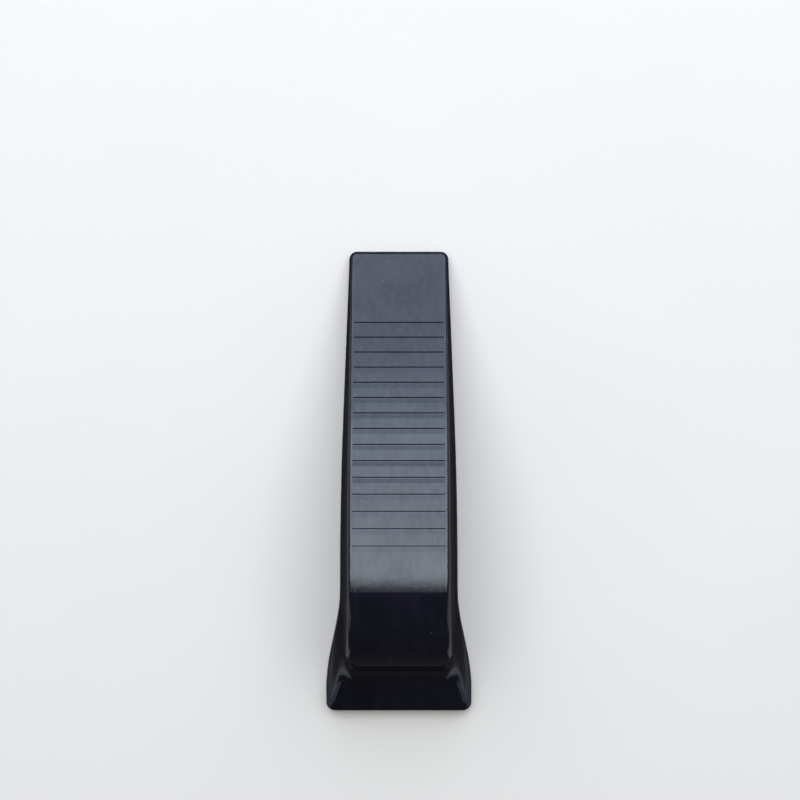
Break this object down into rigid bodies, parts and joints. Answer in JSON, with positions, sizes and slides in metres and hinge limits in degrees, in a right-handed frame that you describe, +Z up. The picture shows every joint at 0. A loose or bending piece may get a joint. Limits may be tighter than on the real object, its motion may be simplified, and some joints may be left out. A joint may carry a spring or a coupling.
{
  "type": "door wedge",
  "caption": "Long tapered door wedge with a ribbed ramp, rounded heel and flared foot, made as a hard hollow shell snapped onto a rubber sole with a chevron tread.",
  "frame": {"origin": "on the floor plane, at the middle of the footprint's bounding rectangle", "axes": "+Y along the wedge towards the thin toe, +Z up from the floor, +X across the wedge to the right when looking towards the toe"},
  "size_m": [0.0382, 0.1206, 0.0335],
  "materials": {
    "hard_shell": "satin moulded, near-black slate",
    "sole_rubber": "matte black"
  },
  "bodies": {
    "root": {"wedge_shell": "hard_shell", "rubber_sole": "sole_rubber"}
  },
  "joints": []
}
